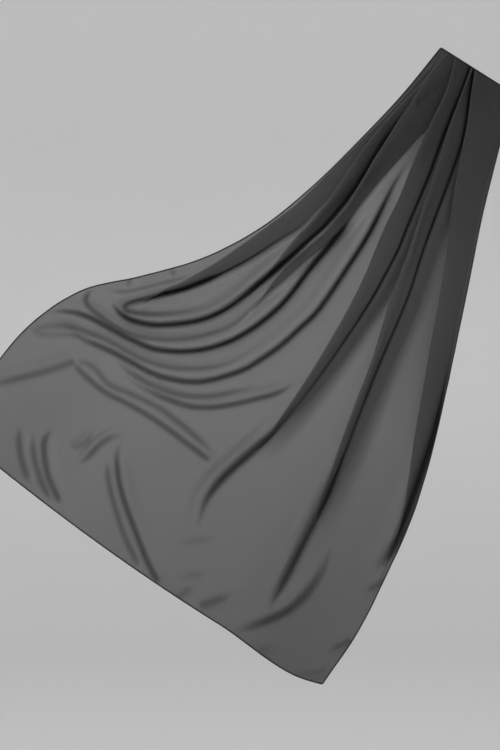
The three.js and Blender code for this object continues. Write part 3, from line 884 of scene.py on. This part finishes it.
@dataclass
class ClothGrid:
    """The cloth's points row by row, in metres, with what its finish reads there."""

    points: np.ndarray
    bunch: np.ndarray
    painted_shade: np.ndarray
    share: np.ndarray
    down: np.ndarray

    def normals(self) -> np.ndarray:
        """The direction out of the cloth at each point, towards the front on its first layer."""
        down = np.gradient(self.points, axis=0)
        across = np.gradient(self.points, axis=1)
        out = np.cross(down, across)
        return out / np.maximum(np.linalg.norm(out, axis=2, keepdims=True), 1e-12)

    def edge(self, side: HemSide) -> tuple[np.ndarray, np.ndarray]:
        """The points along one edge and the next ones inside it."""
        rows = {
            HemSide.TOP: (self.points[0], self.points[1]),
            HemSide.LEFT: (self.points[:, 0], self.points[:, 1]),
            HemSide.RIGHT: (self.points[:, -1], self.points[:, -2]),
            HemSide.BOTTOM: (self.points[-1], self.points[-2]),
        }
        return rows[side]

    def cut_places(self) -> np.ndarray:
        """Each point's place in the flat cut: lengths of cloth from the left hem and from the held hem."""
        across = np.linalg.norm(np.diff(self.points, axis=1), axis=2)
        down = np.linalg.norm(np.diff(self.points, axis=0), axis=2)
        u = np.concatenate((np.zeros((len(across), 1)), np.cumsum(across, axis=1)), axis=1)
        v = np.concatenate((np.zeros((1, down.shape[1])), np.cumsum(down, axis=0)))
        return np.stack((u, np.repeat(v.mean(axis=1, keepdims=True), u.shape[1], axis=1)), axis=2)


def select_only(piece: bpy.types.Object) -> None:
    """Select one piece and make it the active one."""
    bpy.ops.object.select_all(action="DESELECT")
    piece.select_set(True)
    bpy.context.view_layer.objects.active = piece


def new_piece(name: str, points: np.ndarray, faces: list[tuple[int, ...]]) -> bpy.types.Object:
    """Make a smooth-shaded mesh piece.

    Args:
        name: the piece's name.
        points: its points, in metres.
        faces: its faces.

    Returns:
        The piece, linked to the scene.
    """
    mesh = bpy.data.meshes.new(name)
    mesh.from_pydata(points.tolist(), [], faces)
    mesh.validate()
    mesh.shade_smooth()
    piece = bpy.data.objects.new(name, mesh)
    bpy.context.scene.collection.objects.link(piece)
    return piece


def lay_out(piece: bpy.types.Object, cut: np.ndarray) -> None:
    """Keep each point's place in the flat cut, for the weave to follow.

    Args:
        piece: the piece.
        cut: one place for each of its points, in metres.
    """
    layer = piece.data.uv_layers.new(name="cut")
    corners = np.empty(len(piece.data.loops), dtype=np.int32)
    piece.data.loops.foreach_get("vertex_index", corners)
    layer.data.foreach_set("uv", cut[corners].astype(np.float32).ravel())


@dataclass(frozen=True)
class WeaveGroup:
    """The chiffon's weave: fine crossed yarns with the uneven grain of twisted crepe."""

    name: str = "crepe weave"
    yarn_pitch: float = 0.0007
    bands_per_scale: float = 20.0
    yarn_waver: float = 1.5
    yarn_detail: float = 1.0
    grain_scale: float = 900.0
    grain_detail: float = 2.0

    def build(self) -> bpy.types.NodeTree:
        """Build the group once.

        Returns:
            The node group, with the cut's place as input and a grain and a height as outputs.
        """
        group = bpy.data.node_groups.new(self.name, "ShaderNodeTree")
        group.interface.new_socket("Place", in_out="INPUT", socket_type="NodeSocketVector")
        for name in ("Grain", "Height"):
            group.interface.new_socket(name, in_out="OUTPUT", socket_type="NodeSocketFloat")
        nodes, links = group.nodes, group.links
        inlet, outlet = nodes.new("NodeGroupInput"), nodes.new("NodeGroupOutput")
        yarns = []
        for direction in ("X", "Y"):
            wave = nodes.new("ShaderNodeTexWave")
            wave.wave_type, wave.bands_direction = "BANDS", direction
            wave.inputs["Scale"].default_value = 1 / (self.yarn_pitch * self.bands_per_scale)
            wave.inputs["Distortion"].default_value = self.yarn_waver
            wave.inputs["Detail"].default_value = self.yarn_detail
            links.new(inlet.outputs["Place"], wave.inputs["Vector"])
            yarns.append(wave)
        crossed = nodes.new("ShaderNodeMath")
        crossed.operation = "MAXIMUM"
        links.new(yarns[0].outputs["Fac"], crossed.inputs[0])
        links.new(yarns[1].outputs["Fac"], crossed.inputs[1])
        noise = nodes.new("ShaderNodeTexNoise")
        noise.inputs["Scale"].default_value = self.grain_scale
        noise.inputs["Detail"].default_value = self.grain_detail
        links.new(inlet.outputs["Place"], noise.inputs["Vector"])
        mixed = nodes.new("ShaderNodeMath")
        mixed.operation = "MULTIPLY"
        links.new(crossed.outputs[0], mixed.inputs[0])
        links.new(noise.outputs["Fac"], mixed.inputs[1])
        links.new(noise.outputs["Fac"], outlet.inputs["Grain"])
        links.new(mixed.outputs[0], outlet.inputs["Height"])
        return group


@dataclass(frozen=True)
class ChiffonFinish:
    """Sheer dark grey chiffon: how much one layer lets through, its colour, the near-black colour of its
    painted shade in creases and folds, and its sheen.
    """

    through_one_layer: float = 0.25
    cloth_colour: tuple[float, float, float] = (0.066, 0.066, 0.066)
    crease_shade_colour: tuple[float, float, float] = (0.003, 0.003, 0.003)
    roughness: float = 0.85
    sheen: float = 0.05
    sheen_roughness: float = 0.5
    specular: float = 0.05
    grain_contrast: float = 0.15
    bump: float = 0.02
    bump_depth: float = 0.0004

    def material(self, weave: bpy.types.NodeTree) -> bpy.types.Material:
        """Make the cloth's material.

        Args:
            weave: the weave's node group.

        Returns:
            The material. Its density follows the attribute veil, and a second point attribute paints shade
            into its base colour, darkening it in creases, folds and near the held hem.
        """
        material, shader = new_material("sheer chiffon", self.cloth_colour, self.roughness)
        shader.inputs["Sheen Weight"].default_value = self.sheen
        shader.inputs["Sheen Roughness"].default_value = self.sheen_roughness
        shader.inputs["Specular IOR Level"].default_value = self.specular
        nodes, links = material.node_tree.nodes, material.node_tree.links
        crepe = weave_node(material, weave)
        veil, painted_shade = nodes.new("ShaderNodeAttribute"), nodes.new("ShaderNodeAttribute")
        veil.attribute_name, painted_shade.attribute_name = "veil", "painted_shade"
        grain = math_node(material, "MULTIPLY_ADD", crepe.outputs["Grain"], self.grain_contrast,
                          1 - self.grain_contrast / 2)
        density = math_node(material, "MULTIPLY", veil.outputs["Fac"], grain)
        through = math_node(material, "POWER", math.sqrt(self.through_one_layer), density)
        links.new(math_node(material, "SUBTRACT", 1.0, through), shader.inputs["Alpha"])
        # Painted shade: the base colour darkens towards a near-black where the cloth lies in creases and
        # folds and near the held hem.
        mix_colours(material, painted_shade.outputs["Fac"], self.cloth_colour, self.crease_shade_colour)
        add_bump(material, crepe.outputs["Height"], self.bump, self.bump_depth)
        return material


@dataclass(frozen=True)
class TwistedFinish:
    """A dark, nearly opaque finish with fine twisted yarns, for the rolled hems and their thread."""

    name: str
    colour: tuple[float, float, float]
    light_colour: tuple[float, float, float]
    roughness: float = 0.8
    specular: float = 0.1
    bump: float = 0.5
    bump_depth: float = 0.0003

    def material(self, weave: bpy.types.NodeTree) -> bpy.types.Material:
        """Make the material.

        Args:
            weave: the weave's node group.

        Returns:
            The material.
        """
        material, shader = new_material(self.name, self.colour, self.roughness)
        shader.inputs["Specular IOR Level"].default_value = self.specular
        crepe = weave_node(material, weave)
        mix_colours(material, crepe.outputs["Grain"], self.colour, self.light_colour)
        add_bump(material, crepe.outputs["Height"], self.bump, self.bump_depth)
        return material


def new_material(
    name: str, colour: tuple[float, float, float], roughness: float
) -> tuple[bpy.types.Material, bpy.types.ShaderNode]:
    """Make a material with one Principled shader.

    Args:
        name: the material's name.
        colour: its base colour.
        roughness: its roughness.

    Returns:
        The material and its shader.
    """
    material = bpy.data.materials.new(name)
    material.use_nodes = True
    shader = material.node_tree.nodes["Principled BSDF"]
    shader.inputs["Base Color"].default_value = (*colour, 1)
    shader.inputs["Roughness"].default_value = roughness
    return material, shader


def weave_node(material: bpy.types.Material, weave: bpy.types.NodeTree) -> bpy.types.ShaderNode:
    """Place the weave's group in a material, laid along the piece's cut.

    Args:
        material: the material.
        weave: the weave's node group.

    Returns:
        The group's node.
    """
    nodes = material.node_tree.nodes
    cut = nodes.new("ShaderNodeUVMap")
    cut.uv_map = "cut"
    crepe = nodes.new("ShaderNodeGroup")
    crepe.node_tree = weave
    material.node_tree.links.new(cut.outputs["UV"], crepe.inputs["Place"])
    return crepe


def mix_colours(
    material: bpy.types.Material,
    share: bpy.types.NodeSocket,
    low: tuple[float, float, float],
    high: tuple[float, float, float],
) -> None:
    """Let a share lead a material's base colour from one colour to another.

    Args:
        material: the material.
        share: the share's socket, from 0 to 1.
        low: the colour at 0.
        high: the colour at 1.
    """
    mix = material.node_tree.nodes.new("ShaderNodeMix")
    mix.data_type = "RGBA"
    mix.inputs["A"].default_value = (*low, 1)
    mix.inputs["B"].default_value = (*high, 1)
    links = material.node_tree.links
    links.new(share, mix.inputs["Factor"])
    links.new(mix.outputs["Result"], material.node_tree.nodes["Principled BSDF"].inputs["Base Color"])


def add_bump(
    material: bpy.types.Material, height: bpy.types.NodeSocket, strength: float, distance: float
) -> None:
    """Let a height roughen a material's surface.

    Args:
        material: the material.
        height: the height's socket.
        strength: how strongly it shows.
        distance: how deep a height of 1 is, in metres.
    """
    bump = material.node_tree.nodes.new("ShaderNodeBump")
    bump.inputs["Strength"].default_value = strength
    bump.inputs["Distance"].default_value = distance
    links = material.node_tree.links
    links.new(height, bump.inputs["Height"])
    links.new(bump.outputs["Normal"], material.node_tree.nodes["Principled BSDF"].inputs["Normal"])


def math_node(
    material: bpy.types.Material, operation: str, *values: float | bpy.types.NodeSocket
) -> bpy.types.NodeSocket:
    """Add a Math node.

    Args:
        material: the material to add it to.
        operation: what it does.
        values: its inputs, numbers or sockets.

    Returns:
        Its output.
    """
    node = material.node_tree.nodes.new("ShaderNodeMath")
    node.operation = operation
    for slot, value in zip(node.inputs, values):
        if isinstance(value, bpy.types.NodeSocket):
            material.node_tree.links.new(value, slot)
        else:
            slot.default_value = value
    return node.outputs[0]


@dataclass
class ScarfPanel:
    """The scarf's one cut piece of chiffon, as a thin shell on the cloth's form."""

    thickness: float = 0.0005
    veil_at_loose_hem: float = 0.15
    veil_at_right: float = 0.42
    veil_at_held_hem: float = 1.5
    held_reach: float = 0.24
    veil_by_gather: float = 0.7
    gather_start: float = 0.2
    gather_reach: float = 0.45
    gather_left: float = 0.5
    gather_width: float = 0.4
    steepest: float = 0.3
    thinnest: float = 0.05
    shade_at_held_hem: float = 0.45
    shade_reach: float = 0.4
    painted_shade_depth: float = 1.0
    flat_cut: tuple[float, float] = (0.72, 1.05)

    def build(self, grid: ClothGrid, finish: bpy.types.Material) -> bpy.types.Object:
        """Build and dress the panel.

        Args:
            grid: the cloth's points.
            finish: its material.

        Returns:
            The panel.
        """
        rows, columns = grid.points.shape[:2]
        corner = np.arange(rows * columns).reshape(rows, columns)
        faces = np.stack((corner[:-1, :-1], corner[1:, :-1], corner[1:, 1:], corner[:-1, 1:]), axis=-1)
        panel = new_piece("sheer_panel", grid.points.reshape(-1, 3), faces.reshape(-1, 4).tolist())
        slope = 1 / np.maximum(np.abs(grid.normals()[..., 1]), self.steepest)
        down = grid.down[:, None]
        lean = 1 + self.veil_at_loose_hem * down ** 2 + self.veil_at_right * down * grid.share ** 2
        lean = lean + self.veil_at_held_hem * (1 - ease(down / self.held_reach))
        near_gather = 1 - ease((down - self.gather_start) / self.gather_reach)
        to_right = ease((grid.share - self.gather_left) / self.gather_width)
        lean = lean + self.veil_by_gather * near_gather * to_right
        self.store(panel, "veil", np.maximum(slope * lean + grid.bunch, self.thinnest))
        # Painted shade: the colour darkens towards the held hem, standing in for shadow among the gathered
        # folds, on top of the painted shade in creases.
        gathered = self.shade_at_held_hem * (1 - ease(down / self.shade_reach))
        self.store(panel, "painted_shade", np.clip(grid.painted_shade * self.painted_shade_depth + gathered, 0, 1))
        lay_out(panel, grid.cut_places().reshape(-1, 2))
        select_only(panel)
        shell = panel.modifiers.new("shell", "SOLIDIFY")
        shell.thickness, shell.offset = self.thickness, 0.0
        bpy.ops.object.modifier_apply(modifier=shell.name)
        panel.data.materials.append(finish)
        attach(panel, "root")
        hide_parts("scarf_panel")
        return panel

    @staticmethod
    def store(panel: bpy.types.Object, name: str, values: np.ndarray) -> None:
        """Keep one value for each point, for the finish to read."""
        attribute = panel.data.attributes.new(name, "FLOAT", "POINT")
        attribute.data.foreach_set("value", values.astype(np.float32).ravel())


@dataclass
class HemPath:
    """The middle of a rolled hem, with its directions at each point, in metres."""

    centre: np.ndarray
    along: np.ndarray
    out: np.ndarray
    far: np.ndarray

    @classmethod
    def beside(cls, edge: np.ndarray, inner: np.ndarray, away: float) -> "HemPath":
        """Lay a path beside an edge.

        Args:
            edge: the edge's points.
            inner: the next points inside it.
            away: how far outside the edge it lies.

        Returns:
            The path.
        """
        along = np.gradient(edge, axis=0)
        along /= np.linalg.norm(along, axis=1, keepdims=True)
        out = edge - inner
        out -= (out * along).sum(axis=1, keepdims=True) * along
        out /= np.linalg.norm(out, axis=1, keepdims=True)
        centre = edge + out * away
        far = np.concatenate(([0.0], np.cumsum(np.linalg.norm(np.diff(centre, axis=0), axis=1))))
        return cls(centre, along, out, far)

    def read(self, values: np.ndarray, far: float) -> np.ndarray:
        """One of its rows of values at a length along the path."""
        return np.array([np.interp(far, self.far, values[:, axis]) for axis in range(3)])


@dataclass
class RolledHem:
    """A hem rolled from the panel's own edge and whipped down with small stitches."""

    side: HemSide
    radius: float = 0.0011
    overlap: float = 0.0007
    sides: int = 8
    twist_height: float = 0.00012
    twist_pitch: float = 0.004
    stitch_pitch: float = 0.005
    stitch_tilt: float = 0.5
    thread_radius: float = 0.00011
    ring_segments: int = 10
    thread_sides: int = 4

    def build(
        self, grid: ClothGrid, finish: bpy.types.Material, thread: bpy.types.Material
    ) -> list[bpy.types.Object]:
        """Build and dress the hem and its stitches.

        Args:
            grid: the cloth's points.
            finish: the hem's material.
            thread: the thread's material.

        Returns:
            The hem and its stitches.
        """
        path = HemPath.beside(*grid.edge(self.side), self.radius - self.overlap)
        hem, stitches = self.roll(path), self.stitches(path)
        for piece, look in ((hem, finish), (stitches, thread)):
            self.point_out(piece)
            piece.data.materials.append(look)
            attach(piece, "root")
        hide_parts(self.side.value)
        return [hem, stitches]

    def roll(self, path: HemPath) -> bpy.types.Object:
        """Make the rolled cord of cloth.

        Args:
            path: its middle.

        Returns:
            The cord, closed at both ends, with its twist showing.
        """
        other = np.cross(path.along, path.out)
        points: list[np.ndarray] = []
        for k in range(self.sides):
            angle = 2 * math.pi * k / self.sides
            ripple = self.twist_height * np.sin(2 * math.pi * path.far / self.twist_pitch + angle)
            reach = (self.radius + ripple)[:, None]
            points.append(path.centre + reach * (math.cos(angle) * path.out + math.sin(angle) * other))
        count = len(path.far)
        faces: list[tuple[int, ...]] = []
        for i in range(count - 1):
            for k in range(self.sides):
                a, b = i * self.sides + k, i * self.sides + (k + 1) % self.sides
                faces.append((a, b, b + self.sides, a + self.sides))
        last = (count - 1) * self.sides
        faces.append(tuple(range(self.sides))[::-1])
        faces.append(tuple(last + k for k in range(self.sides)))
        hem = new_piece(f"rolled_{self.side.value}", np.stack(points, axis=1).reshape(-1, 3), faces)
        round_it = np.tile(np.arange(self.sides) * self.radius, count)
        lay_out(hem, np.column_stack((np.repeat(path.far, self.sides), round_it)))
        return hem

    def stitches(self, path: HemPath) -> bpy.types.Object:
        """Sew whip stitches round the cord: one ring of thread, copied along it.

        Args:
            path: the cord's middle.

        Returns:
            All the stitches as one piece.
        """
        bpy.ops.object.select_all(action="DESELECT")
        bpy.ops.mesh.primitive_torus_add(
            major_radius=self.radius + self.twist_height,
            minor_radius=self.thread_radius,
            major_segments=self.ring_segments,
            minor_segments=self.thread_sides,
        )
        ring = bpy.context.active_object
        shape = np.array([vertex.co[:] for vertex in ring.data.vertices])
        ring_faces = [tuple(face.vertices) for face in ring.data.polygons]
        bpy.ops.object.delete()
        points: list[np.ndarray] = []
        faces: list[tuple[int, ...]] = []
        for far in np.arange(self.stitch_pitch / 2, path.far[-1], self.stitch_pitch):
            along, out = path.read(path.along, far), path.read(path.out, far)
            axis = along * math.cos(self.stitch_tilt) + out * math.sin(self.stitch_tilt)
            axis /= np.linalg.norm(axis)
            flat = np.cross(axis, out)
            flat /= np.linalg.norm(flat)
            start = len(points) * len(shape)
            turned = shape @ np.stack((np.cross(flat, axis), flat, axis))
            points.append(turned + path.read(path.centre, far))
            faces += [tuple(start + corner for corner in face) for face in ring_faces]
        sewn = new_piece(f"whip_stitches_{self.side.name.lower()}", np.concatenate(points), faces)
        turn, side = np.divmod(np.arange(len(shape)), self.thread_sides)
        ring_cut = np.column_stack((turn * self.radius, side * self.thread_radius))
        lay_out(sewn, np.tile(ring_cut, (len(points), 1)))
        return sewn

    @staticmethod
    def point_out(piece: bpy.types.Object) -> None:
        """Turn a piece's faces outwards."""
        select_only(piece)
        bpy.ops.object.mode_set(mode="EDIT")
        bpy.ops.mesh.select_all(action="SELECT")
        bpy.ops.mesh.normals_make_consistent(inside=False)
        bpy.ops.object.mode_set(mode="OBJECT")


@dataclass(frozen=True)
class SoftLamp:
    """One soft square lamp: its place and size in metres, and its power in watts."""

    name: str
    place: tuple[float, float, float]
    size: float
    power: float


@dataclass
class Studio:
    """The pale backdrop, the soft lights and the camera."""

    radius: float = 11.0
    flat_share: float = 0.4
    segments: int = 96
    floor_z: float = -1.75
    top_z: float = 6.0
    bend: float = 2.5
    bend_steps: int = 16
    wall_tone: float = 0.71
    # A darker tone towards the floor: painted shade.
    shaded_floor_tone: float = 0.61
    tone_rise: tuple[float, float] = (-1.75, -0.2)
    paper_roughness: float = 0.95
    room_light: float = 1.0
    lamps: tuple[SoftLamp, ...] = (
        SoftLamp("key", (-2.6, -3.2, 1.6), 2.4, 95),
        SoftLamp("wash", (1.6, -2.2, 2.2), 2.4, 15),
    )
    lit_place: tuple[float, float, float] = (-0.4, 0.2, -0.5)
    sensor_height: float = 36.0
    pixel: float = 0.0016
    photo_size: tuple[int, int] = (500, 750)
    origin_pixel: tuple[float, float] = (476.0, 70.0)
    camera_distance: float = 4.6

    def backdrop(self) -> bpy.types.Object:
        """Make the floor and the backdrop all round, one sheet with a wide bend and an open top, its colour
        painted darker towards the floor as shade.
        """
        profile = [(self.radius * self.flat_share, self.floor_z)]
        for i in range(self.bend_steps + 1):
            angle = math.pi / 2 * i / self.bend_steps
            profile.append((
                self.radius - self.bend + self.bend * math.sin(angle),
                self.floor_z + self.bend - self.bend * math.cos(angle),
            ))
        profile.append((self.radius, self.top_z))
        turns = np.linspace(0, 2 * math.pi, self.segments, endpoint=False)
        points = [(0.0, 0.0, self.floor_z)]
        points += [(r * math.cos(a), r * math.sin(a), z) for r, z in profile for a in turns]
        around = [(k, (k + 1) % self.segments) for k in range(self.segments)]
        faces = [(0, 1 + a, 1 + b) for a, b in around]
        for i in range(len(profile) - 1):
            low, high = 1 + i * self.segments, 1 + (i + 1) * self.segments
            faces += [(low + a, high + a, high + b, low + b) for a, b in around]
        sheet = new_piece("pale_backdrop", np.array(points), faces)
        material, shader = new_material("pale paper", (self.wall_tone,) * 3, self.paper_roughness)
        shader.inputs["Specular IOR Level"].default_value = 0.0
        nodes, links = material.node_tree.nodes, material.node_tree.links
        place, parts = nodes.new("ShaderNodeTexCoord"), nodes.new("ShaderNodeSeparateXYZ")
        links.new(place.outputs["Object"], parts.inputs["Vector"])
        # Painted shade: the paper darkens from the wall's tone to a darker tone towards the floor.
        tone = nodes.new("ShaderNodeMapRange")
        tone.interpolation_type = "SMOOTHSTEP"
        tone.inputs["From Min"].default_value, tone.inputs["From Max"].default_value = self.tone_rise
        tone.inputs["To Min"].default_value = self.shaded_floor_tone
        tone.inputs["To Max"].default_value = self.wall_tone
        links.new(parts.outputs["Z"], tone.inputs["Value"])
        links.new(tone.outputs["Result"], shader.inputs["Base Color"])
        sheet.data.materials.append(material)
        return sheet

    def lights(self) -> None:
        """Add the soft lights."""
        scene = bpy.context.scene
        world = bpy.data.worlds.new("soft room")
        world.use_nodes = True
        fill = world.node_tree.nodes["Background"]
        fill.inputs["Color"].default_value = (1, 1, 1, 1)
        fill.inputs["Strength"].default_value = self.room_light
        scene.world = world
        for soft in self.lamps:
            light = bpy.data.lights.new(soft.name, "AREA")
            light.size, light.energy = soft.size, soft.power
            lamp = bpy.data.objects.new(soft.name, light)
            lamp.location = soft.place
            lamp.visible_camera = False
            scene.collection.objects.link(lamp)
            self.aim(lamp, self.lit_place)

    def camera(self) -> None:
        """Add the camera, level and square to the scarf, framed as the photograph is."""
        camera = bpy.data.cameras.new("camera")
        camera.sensor_fit, camera.sensor_height = "VERTICAL", self.sensor_height
        view_height = self.photo_size[1] * self.pixel
        camera.lens = camera.sensor_height * self.camera_distance / view_height
        eye = bpy.data.objects.new("camera", camera)
        eye.location = (
            (self.photo_size[0] / 2 - self.origin_pixel[0]) * self.pixel,
            -self.camera_distance,
            (self.origin_pixel[1] - self.photo_size[1] / 2) * self.pixel,
        )
        eye.rotation_euler = (math.pi / 2, 0, 0)
        bpy.context.scene.collection.objects.link(eye)
        bpy.context.scene.camera = eye

    @staticmethod
    def aim(lamp: bpy.types.Object, target: tuple[float, float, float]) -> None:
        """Turn a lamp towards a place."""
        way = np.array(target) - np.array(lamp.location)
        rise = math.atan2(way[2], math.hypot(way[0], way[1]))
        heading = math.atan2(way[1], way[0])
        lamp.rotation_euler = (math.pi / 2 + rise, 0, heading - math.pi / 2)


def main() -> None:
    """Build the scarf and its studio, and report each piece."""
    logging.basicConfig(level=logging.INFO, format="%(message)s")
    bpy.context.scene.view_settings.view_transform = "Standard"
    bpy.context.scene.cycles.transparent_max_bounces = MOST_SHEER_FACES
    studio = Studio()
    studio.backdrop()
    studio.lights()
    studio.camera()
    weave = WeaveGroup().build()
    grid = ClothForm().grid()
    maker = ScarfPanel()
    panel = maker.build(grid, ChiffonFinish().material(weave))
    rolled = TwistedFinish("rolled chiffon", (0.014, 0.014, 0.015), (0.026, 0.026, 0.027)).material(weave)
    thread = TwistedFinish("sewing thread", (0.03, 0.03, 0.031), (0.06, 0.06, 0.062)).material(weave)
    sewn: list[bpy.types.Object] = []
    for side in HemSide:
        sewn += RolledHem(side).build(grid, rolled, thread)
    for piece in (panel, *sewn):
        LOG.info("%s: %d faces", piece.name, len(piece.data.polygons))


if __name__ == "__main__":
    main()
